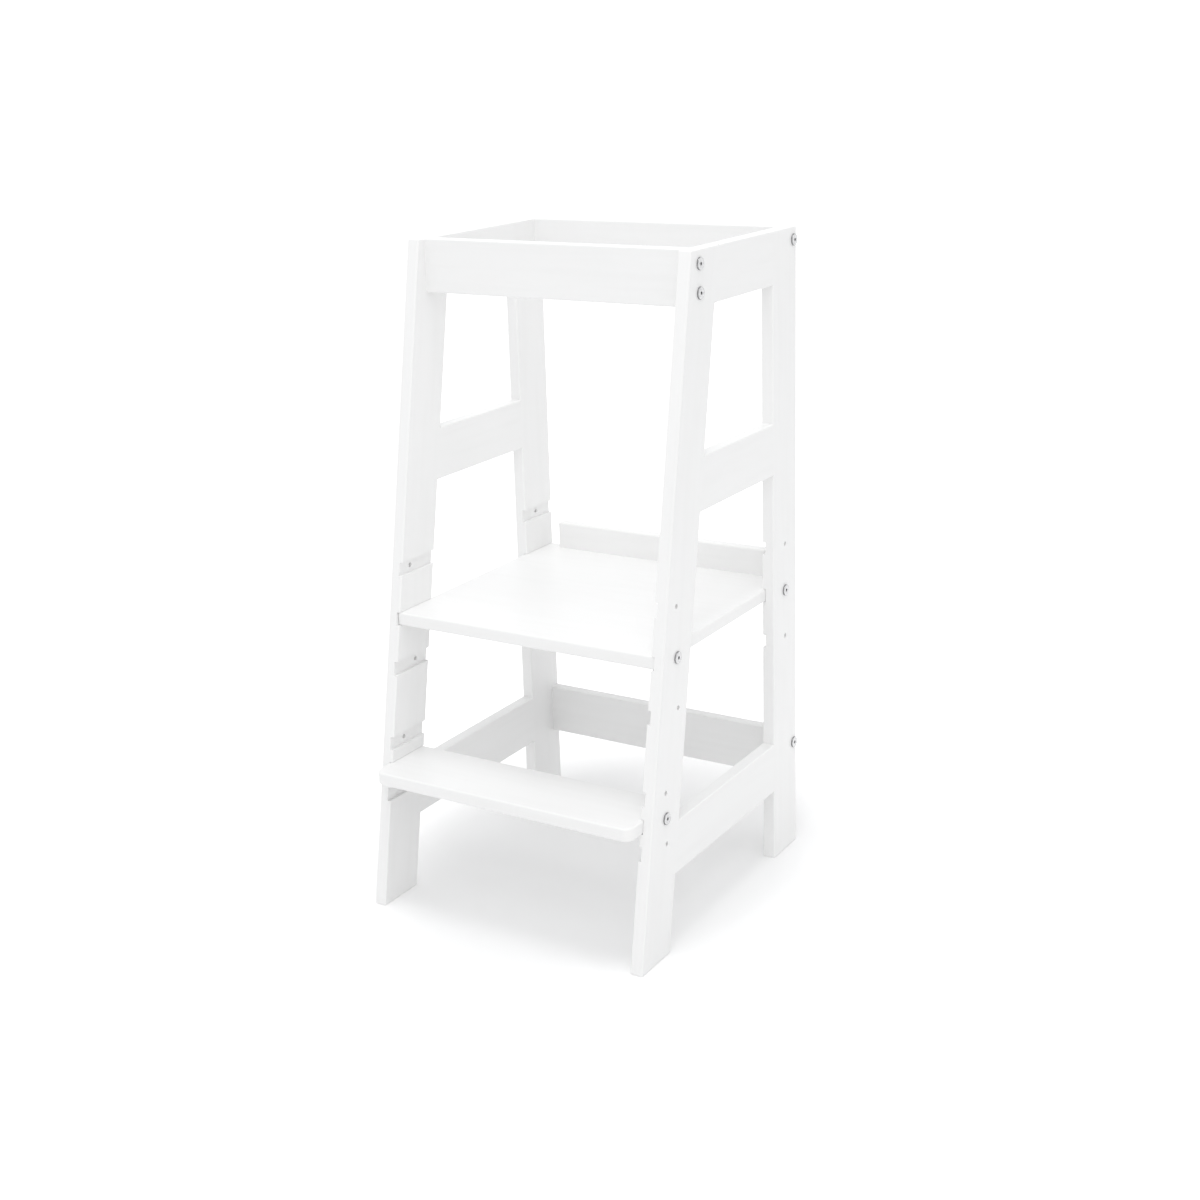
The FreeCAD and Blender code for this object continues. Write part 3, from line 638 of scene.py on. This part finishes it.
def new_material(name):
    """A material whose nodes are its own; gives the material, its nodes and its shader."""
    material = bpy.data.materials.new(name)
    material.use_nodes = True
    material.node_tree.nodes.clear()
    nodes = Nodes(material.node_tree)
    shader = nodes.add("ShaderNodeBsdfPrincipled")
    nodes.add("ShaderNodeOutputMaterial", shader.outputs[0])
    return material, nodes, shader


def set_inputs(nodes, node, values):
    """Values or links for a node's named inputs."""
    for label, value in values.items():
        nodes.feed(node.inputs[label], value)


def ramp(nodes, value, low, high):
    """How far a value has come from low to high, from 0 to 1."""
    node = nodes.add("ShaderNodeMapRange")
    set_inputs(nodes, node, {"Value": value, "From Min": low, "From Max": high})
    node.interpolation_type = "SMOOTHSTEP"
    return node.outputs[0]


def mix(nodes, amount, first, second):
    """A colour between two colours."""
    node = nodes.add("ShaderNodeMix", data_type="RGBA")
    nodes.feed(node.inputs["Factor"], amount)
    for socket, value in ((node.inputs[6], first), (node.inputs[7], second)):
        if not isinstance(value, bpy.types.NodeSocket):
            value = (*value, 1.0)
        nodes.feed(socket, value)
    return node.outputs[2]


def noise(nodes, place, fine, detail, seed):
    """Soft noise at a place; it is as fine along each axis as the numbers say."""
    spread = nodes.add("ShaderNodeMapping", place)
    set_inputs(nodes, spread, {"Scale": fine, "Location": [seed * step for step in SEED_STEP]})
    texture = nodes.add("ShaderNodeTexNoise", spread.outputs[0])
    set_inputs(nodes, texture, {"Scale": 1.0, "Detail": detail})
    return texture.outputs[0]


def relief(nodes, shader, strength, distance, height):
    """Bumps in the surface of a shader."""
    node = nodes.add("ShaderNodeBump")
    set_inputs(nodes, node, {"Strength": strength, "Distance": distance, "Height": height})
    nodes.feed(shader.inputs["Normal"], node.outputs[0])


def lacquer(name, grain, seed):
    """White satin lacquer over pine whose grain runs one way."""
    settings = bpy.context.scene.tower_lacquer
    material, nodes, shader = new_material(name)
    space = nodes.add("ShaderNodeTexCoord").outputs
    turn = nodes.add("ShaderNodeMapping", space["Object"], vector_type="POINT")
    nodes.feed(turn.inputs["Rotation"], grain)
    place = turn.outputs[0]
    across = 1.0 / settings.figure_wide
    figure = noise(nodes, place, (1.0 / settings.figure_long, across, across), 3.0, seed)
    bands = ramp(nodes, figure, *FIGURE_RAMP)
    fibre = noise(nodes, place, (FIBRE_ALONG, across * FIBRES, across * FIBRES), 2.0, seed + 1)
    cloud = noise(nodes, place, CLOUD_FINE, 2.0, seed + 2)
    ripple = 1.0 / settings.peel_wide
    peel = noise(nodes, place, (ripple, ripple, ripple), 1.0, seed + 3)

    facing = nodes.add("ShaderNodeMapping", space["Normal"], vector_type="NORMAL")
    nodes.feed(facing.inputs["Rotation"], grain)
    sides = [nodes.calc("ABSOLUTE", part) for part in nodes.parts(facing.outputs[0])]
    squarest = nodes.calc("MAXIMUM", nodes.calc("MAXIMUM", sides[0], sides[1]), sides[2])
    on_edge = nodes.minus(1.0, ramp(nodes, squarest, *SQUARE_RAMP))

    tone = mix(nodes, nodes.times(bands, FIGURE_SHOWS), settings.tone, settings.figure_tone)
    clouded = nodes.times(ramp(nodes, cloud, *CLOUD_RAMP), CLOUD_SHOWS)
    tone = mix(nodes, clouded, tone, settings.figure_tone)
    sheen = nodes.times_plus(cloud, SHEEN_SPREAD, settings.roughness - SHEEN_SPREAD / 2)
    set_inputs(nodes, shader, {
        "Base Color": mix(nodes, on_edge, tone, settings.edge_tone),
        "Roughness": nodes.times_plus(on_edge, EDGE_SHEEN, sheen), "IOR": LACQUER_IOR})
    height = nodes.times_plus(fibre, FIBRE_HIGH, nodes.times(bands, FIGURE_HIGH))
    height = nodes.times_plus(peel, PEEL_HIGH, height)
    relief(nodes, shader, LACQUER_RELIEF, settings.grain_depth, height)
    return material


def zinc(name):
    """Bright zinc plate, with fine turning marks round each fastener's axis, and painted shade on
    the bevel round each bolt's head.
    """
    settings = bpy.context.scene.tower_steel
    material, nodes, shader = new_material(name)
    place = nodes.add("ShaderNodeTexCoord").outputs["Object"]
    blotch = noise(nodes, place, BLOTCH_FINE, 3.0, 7)
    off_axis = nodes.add("ShaderNodeAttribute", attribute_name="off_axis").outputs["Fac"]
    tone = mix(nodes, ramp(nodes, blotch, *BLOTCH_RAMP), settings.tone, settings.shade_tone)
    rim = settings.head_wide / 2
    # Painted shade: the bevel round a bolt's head is mixed towards the dark rim colour.
    on_rim = ramp(nodes, off_axis, rim - settings.head_bevel * RIM_SHADE_SHOWS, rim)
    set_inputs(nodes, shader, {
        "Base Color": mix(nodes, on_rim, tone, settings.rim_shade_tone),
        "Roughness": nodes.times_plus(blotch, ZINC_SPREAD, ZINC_ROUGH), "Metallic": 1.0})
    marks = nodes.calc("SINE", nodes.times(off_axis, math.tau / MARKS_APART))
    relief(nodes, shader, ZINC_RELIEF, ZINC_HIGH, marks)
    return material


def beech(name):
    """Bare beech with small dark rays along the dowels."""
    settings = bpy.context.scene.tower_dowels
    material, nodes, shader = new_material(name)
    place = nodes.add("ShaderNodeTexCoord").outputs["Object"]
    flecks = noise(nodes, place, FLECK_FINE, 2.0, 11)
    cloud = noise(nodes, place, BEECH_FINE, 2.0, 12)
    flecked = nodes.times(ramp(nodes, flecks, *FLECK_RAMP), FLECK_SHOWS)
    tone = mix(nodes, flecked, settings.tone, settings.fleck_tone)
    set_inputs(nodes, shader, {
        "Base Color": mix(nodes, nodes.times(cloud, BEECH_SHOWS), tone, settings.fleck_tone),
        "Roughness": nodes.times_plus(cloud, BEECH_SPREAD, BEECH_ROUGH)})
    relief(nodes, shader, BEECH_RELIEF, BEECH_HIGH, flecks)
    return material


def once(name, maker, *more):
    """A material by its name, made the first time that it is asked for."""
    return bpy.data.materials.get(name) or maker(name, *more)


def dress(names, material):
    """Give construction nodes a finish."""
    for name in names:
        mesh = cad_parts[name].data
        mesh.materials.clear()
        mesh.materials.append(material)


# ------------------------------------------------------------------------------- stage
WHITE = (1.0, 1.0, 1.0)
GAP_RAY = 0.0004            # light from nearer than this comes from the gap under the feet
GAP_GLOW = (0.8, 0.8, 0.8, 1.0)
FLOOR_LEVEL = -0.0001       # a little under the feet, so that no two faces meet
FLOOR_ROUGH = 0.9
FLOOR_HALF = 8.0            # half its width
FLOOR_FRONT, FLOOR_BACK = -6.0, 5.0
BACKDROP_HIGH = 5.0
BEND, BEND_STEPS = 1.5, 16  # radius and steps of the bend up into the backdrop
SENSOR = 36.0               # width of the camera's sensor in millimetres

# Each lamp: its name, the setting of its power, its place and its width.
LAMPS = (
    ("top_light", "top_power", (0.2, -0.4, 3.4), 1.2),
    ("slanting_light", "slant_power", (1.2, -2.2, 3.0), 1.6),
    ("right_light", "right_power", (3.4, 0.4, 1.6), 3.0),
)
LAMPS_AIM = (0, 0, 0.45)


def looked_at(nodes):
    """1 where a surface is seen by the camera or in a mirror or glass, and 0 elsewhere."""
    rays = nodes.add("ShaderNodeLightPath").outputs
    seen = nodes.calc("MAXIMUM", rays["Is Camera Ray"], rays["Is Glossy Ray"])
    return nodes.calc("MAXIMUM", seen, rays["Is Transmission Ray"])


def open_from_below(nodes, shader):
    """Let the tower's underside be looked at through the floor, which still stops the light.

    The hairline gap under the feet is lit, so that the feet don't look black from there.
    """
    under = nodes.add("ShaderNodeNewGeometry").outputs["Backfacing"]
    rays = nodes.add("ShaderNodeLightPath").outputs
    clear = nodes.add("ShaderNodeBsdfTransparent")
    glow = nodes.add("ShaderNodeEmission", GAP_GLOW, 1.0)
    short = nodes.calc("LESS_THAN", rays["Ray Length"], GAP_RAY)
    in_gap = nodes.times(short, rays["Is Diffuse Ray"])
    lit = nodes.add("ShaderNodeMixShader", in_gap, shader.outputs[0], glow.outputs[0])
    both = nodes.add("ShaderNodeMixShader", nodes.times(under, rays["Is Camera Ray"]),
                     lit.outputs[0], clear.outputs[0])
    end = next(node for node in nodes.tree.nodes if node.type == "OUTPUT_MATERIAL")
    nodes.feed(end.inputs["Surface"], both.outputs[0])


def floor_finish(stage):
    """A pale floor that keeps the tower's shadow and fades to white round it."""
    material, nodes, shader = new_material("pale_floor")
    place = nodes.add("ShaderNodeTexCoord").outputs["Object"]
    around = nodes.add("ShaderNodeMapping", place)
    set_inputs(nodes, around, {
        "Location": (0.0, -stage.shadow_back / stage.shadow_long, 0.0),
        "Scale": (1.0, 1.0 / stage.shadow_long, 1.0)})
    away = nodes.add("ShaderNodeVectorMath", around.outputs[0],
                     operation="LENGTH").outputs["Value"]
    far = ramp(nodes, away, stage.lift_near, stage.lift_far)
    lift = nodes.times_plus(far, stage.far_lift, stage.floor_lift)
    set_inputs(nodes, shader, {
        "Base Color": (*stage.floor_tone, 1.0), "Roughness": FLOOR_ROUGH,
        "Specular IOR Level": 0.0, "Emission Color": (*WHITE, 1.0),
        "Emission Strength": nodes.times(looked_at(nodes), lift)})
    open_from_below(nodes, shader)
    return material


def make_floor(stage):
    """A plain floor that runs up into a backdrop behind the tower."""
    profile = [(FLOOR_FRONT, FLOOR_LEVEL)]
    for number in range(BEND_STEPS + 1):
        angle = number / BEND_STEPS * math.pi / 2
        profile.append((FLOOR_BACK - BEND + BEND * math.sin(angle),
                        FLOOR_LEVEL + BEND - BEND * math.cos(angle)))
    profile.append((FLOOR_BACK, BACKDROP_HIGH))
    corners = [(side, y, z) for y, z in profile for side in (-FLOOR_HALF, FLOOR_HALF)]
    faces = [(2 * row, 2 * row + 1, 2 * row + 3, 2 * row + 2) for row in range(len(profile) - 1)]
    mesh = bpy.data.meshes.new("floor")
    mesh.from_pydata(corners, [], faces)
    mesh.shade_smooth()
    mesh.materials.append(floor_finish(stage))
    floor = bpy.data.objects.new("floor", mesh)
    bpy.context.scene.collection.objects.link(floor)


def make_lights(scene, stage):
    """An even sky, and three soft lights: overhead, slanting and right."""
    world = bpy.data.worlds.new("even_sky")
    world.use_nodes = True
    world.node_tree.nodes.clear()
    nodes = Nodes(world.node_tree)
    seen = looked_at(nodes)
    sky = nodes.add("ShaderNodeBackground", mix(nodes, seen, stage.sky_tone, WHITE),
                    nodes.times_plus(seen, 1.0 - stage.sky, stage.sky))
    nodes.add("ShaderNodeOutputWorld", sky.outputs[0])
    scene.world = world
    for name, setting, place, wide in LAMPS:
        lamp = bpy.data.lights.new(name, "AREA")
        lamp.shape = "DISK"
        lamp.size = wide
        lamp.energy = getattr(stage, setting)
        light = bpy.data.objects.new(name, lamp)
        scene.collection.objects.link(light)
        light.location = place
        aim = Vector(LAMPS_AIM) - light.location
        light.rotation_euler = aim.to_track_quat("-Z", "Y").to_euler()


def make_camera(scene, stage):
    """The camera where the photograph was taken from."""
    around, above, roll = stage.azimuth, stage.elevation, stage.roll
    back = Vector((math.sin(around) * math.cos(above), -math.cos(around) * math.cos(above),
                   math.sin(above)))
    right = Vector((math.cos(around), math.sin(around), 0))
    up = back.cross(right)
    rolled_right = math.cos(roll) * right + math.sin(roll) * up
    rolled_up = math.cos(roll) * up - math.sin(roll) * right
    lens = bpy.data.cameras.new("camera")
    lens.sensor_width = SENSOR
    lens.lens = stage.lens
    lens.shift_x, lens.shift_y = stage.shift
    camera = bpy.data.objects.new("camera", lens)
    scene.collection.objects.link(camera)
    turn = Matrix((rolled_right, rolled_up, back)).transposed().to_4x4()
    camera.matrix_world = Matrix.Translation(Vector(stage.target) + back * stage.distance) @ turn
    scene.camera = camera


# --------------------------------------------------------------------------- operators
class SetStage(bpy.types.Operator):
    """Set the floor, the soft lights and the camera"""

    bl_idname = "tower.stage"
    bl_label = "Stage"

    def execute(self, context):
        stage = context.scene.tower_stage
        make_floor(stage)
        make_lights(context.scene, stage)
        make_camera(context.scene, stage)
        context.scene.view_settings.view_transform = "Standard"
        return {"FINISHED"}


class DressLegs(bpy.types.Operator):
    """Lacquer the leaning and the upright legs"""

    bl_idname = "tower.legs"
    bl_label = "Legs"

    def execute(self, context):
        dress(BOARDS["leaning"], once("lacquer_leaning", lacquer, ALONG_LEAN, 1))
        dress(BOARDS["upright"], once("lacquer_upright", lacquer, ALONG_Z, 2))
        return {"FINISHED"}


class DressRails(bpy.types.Operator):
    """Lacquer the side rails and the rails across the tower"""

    bl_idname = "tower.rails"
    bl_label = "Rails"

    def execute(self, context):
        dress(BOARDS["side_rails"], once("lacquer_front_to_back", lacquer, ALONG_Y, 3))
        dress(BOARDS["cross_rails"], once("lacquer_across", lacquer, ALONG_X, 4))
        return {"FINISHED"}


class DressBoards(bpy.types.Operator):
    """Lacquer the standing board, the heel board and the step"""

    bl_idname = "tower.boards"
    bl_label = "Standing board and step"

    def execute(self, context):
        dress(BOARDS["standing"] + BOARDS["step"], once("lacquer_across", lacquer, ALONG_X, 4))
        return {"FINISHED"}


class MakeBolts(bpy.types.Operator):
    """Make the flat-headed bolts through the legs"""

    bl_idname = "tower.bolts"
    bl_label = "Bolts"

    def execute(self, context):
        steel = context.scene.tower_steel
        tree = bolt_tree()
        for base in BOLTED:
            name = f"{base}_bolts"
            places = []
            for low, high in solids(name):
                middle = (low + high) / 2
                side = math.copysign(1, middle.x)
                outer = high.x if side > 0 else -low.x
                place = Vector((side * (outer - steel.head_high), middle.y, middle.z))
                places.append((place, aimed((side, 0, 0))))
            piece = plant(name, places, tree, {
                "Head width": steel.head_wide, "Head height": steel.head_high,
                "Head bevel": steel.head_bevel, "Shank width": steel.shank_wide,
                "Shank length": high.x - low.x - steel.head_high,
                "Socket width": steel.socket_wide, "Socket depth": steel.socket_deep,
                "Thread length": steel.thread_long, "Thread pitch": steel.thread_pitch,
                "Thread depth": steel.thread_deep, "Finish": once("zinc_plate", zinc)})
        return {"FINISHED"}


class MakeNuts(bpy.types.Operator):
    """Make the barrel nuts that the bolts end in"""

    bl_idname = "tower.nuts"
    bl_label = "Barrel nuts"

    def execute(self, context):
        steel = context.scene.tower_steel
        tree = nut_tree()
        for base in BOLTED:
            name = f"{base}_barrel_nuts"
            places = []
            for low, high in solids(name):
                upright = longest_axis(low, high) == 2
                open_end = (0, 0, -1) if upright else (0, 1, 0)
                bore_across = (0, 1, 0) if upright else (0, 0, -1)
                places.append(((low + high) / 2, aimed(open_end, bore_across)))
            span = high - low
            piece = plant(name, places, tree, {
                "Width": min(span), "Length": max(span), "Bevel": steel.nut_bevel,
                "Bore": steel.nut_bore, "Slot": steel.nut_slot,
                "Finish": once("zinc_plate", zinc)})
        return {"FINISHED"}


class MakeScrews(bpy.types.Operator):
    """Make the countersunk screws that hold the heel board"""

    bl_idname = "tower.screws"
    bl_label = "Heel board screws"

    def execute(self, context):
        steel = context.scene.tower_steel
        boxes = solids("heel_board_screws")
        places = [(Vector(((low.x + high.x) / 2, (low.y + high.y) / 2, low.z)),
                   aimed((0, 0, 1))) for low, high in boxes]
        low, high = boxes[0]
        piece = plant("heel_board_screws", places, screw_tree(), {
            "Head width": high.x - low.x, "Screw length": high.z - low.z,
            "Screw width": steel.screw_wide, "Neck": steel.screw_neck,
            "Thread pitch": steel.screw_pitch, "Thread depth": steel.screw_deep,
            "Cross width": steel.cross_wide, "Cross depth": steel.cross_deep,
            "Finish": once("zinc_plate", zinc)})
        return {"FINISHED"}


class MakeDowels(bpy.types.Operator):
    """Make the fluted dowels between the rails and the legs"""

    bl_idname = "tower.dowels"
    bl_label = "Dowels"

    def execute(self, context):
        settings = context.scene.tower_dowels
        tree = dowel_tree()
        for name in DOWELLED:
            places = []
            for low, high in solids(name):
                direction = [0, 0, 0]
                direction[longest_axis(low, high)] = 1
                places.append(((low + high) / 2, aimed(direction)))
            span = high - low
            piece = plant(name, places, tree, {
                "Width": min(span), "Length": max(span), "Bevel": settings.bevel,
                "Flute depth": settings.flute_deep, "Flutes": settings.flutes,
                "Finish": once("bare_beech", beech)})
        return {"FINISHED"}


class TowerPanel(bpy.types.Panel):
    """The steps that dress the tower, in the 3D view's sidebar"""

    bl_idname = "VIEW3D_PT_tower"
    bl_label = "Helper Tower"
    bl_space_type = "VIEW_3D"
    bl_region_type = "UI"
    bl_category = "Helper Tower"

    def draw(self, context):
        for step in STEPS:
            self.layout.operator(step.bl_idname)
        for group in GROUPS:
            box = self.layout.box()
            settings = getattr(context.scene, group)
            for name in settings.bl_rna.properties.keys():
                if name not in ("rna_type", "name"):
                    box.prop(settings, name)


GROUPS = {
    "tower_lacquer": LacquerSettings,
    "tower_steel": SteelSettings,
    "tower_dowels": DowelSettings,
    "tower_stage": StageSettings,
}
STEPS = (SetStage, DressLegs, DressRails, DressBoards, MakeBolts, MakeNuts, MakeScrews,
         MakeDowels)


def register():
    """Add the settings, the steps and the panel to Blender."""
    for group, settings in GROUPS.items():
        bpy.utils.register_class(settings)
        setattr(bpy.types.Scene, group, PointerProperty(type=settings))
    for step in STEPS:
        bpy.utils.register_class(step)
    bpy.utils.register_class(TowerPanel)


def unregister():
    """Take them away again."""
    bpy.utils.unregister_class(TowerPanel)
    for step in reversed(STEPS):
        bpy.utils.unregister_class(step)
    for group, settings in GROUPS.items():
        delattr(bpy.types.Scene, group)
        bpy.utils.unregister_class(settings)


def main():
    """Dress the tower."""
    register()
    bpy.ops.tower.stage()
    bpy.ops.tower.legs()
    bpy.ops.tower.rails()
    bpy.ops.tower.boards()
    bpy.ops.tower.bolts()
    bpy.ops.tower.nuts()
    bpy.ops.tower.screws()
    bpy.ops.tower.dowels()


if __name__ == "__main__":
    main()
